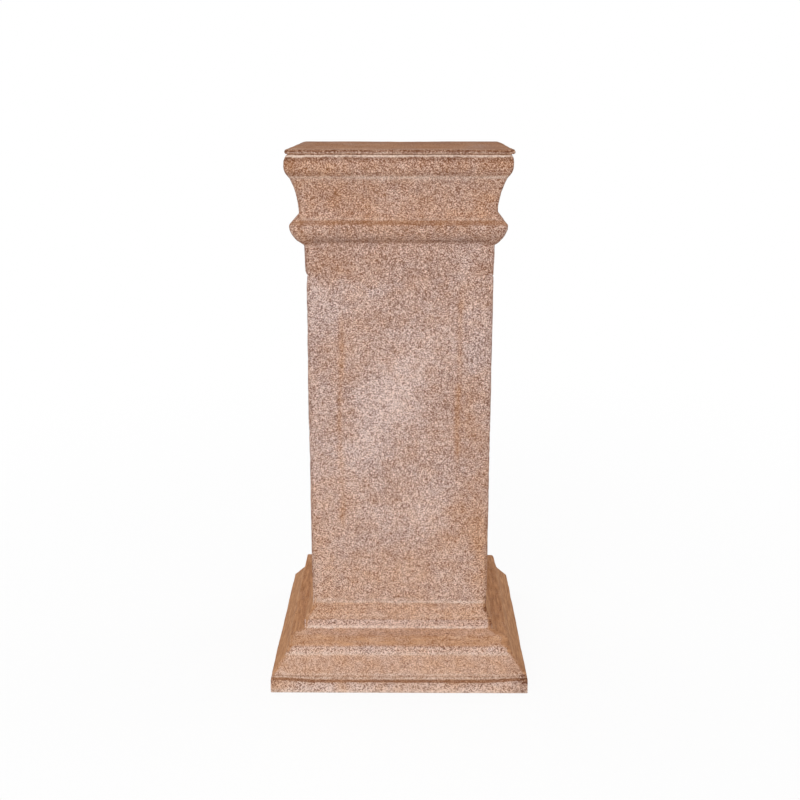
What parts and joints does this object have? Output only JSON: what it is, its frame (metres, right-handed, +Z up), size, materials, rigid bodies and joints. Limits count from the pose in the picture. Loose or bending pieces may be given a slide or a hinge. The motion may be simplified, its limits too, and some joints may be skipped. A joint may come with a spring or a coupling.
{
  "type": "rustic column",
  "caption": "Square rustic column cast in one piece, with a stepped base, a plain shaft and a moulded capital with a flat top for a pot or figure.",
  "frame": {"origin": "middle of the underside, at floor level", "axes": "+Z up, the front faces -Y, +X to the right seen from the front"},
  "size_m": [0.3, 0.3, 0.62],
  "materials": {
    "cast_stone": "coarse terracotta-coloured cast stone, speckled with a worn pale wash"
  },
  "bodies": {
    "root": {"column": "cast_stone"}
  },
  "joints": []
}
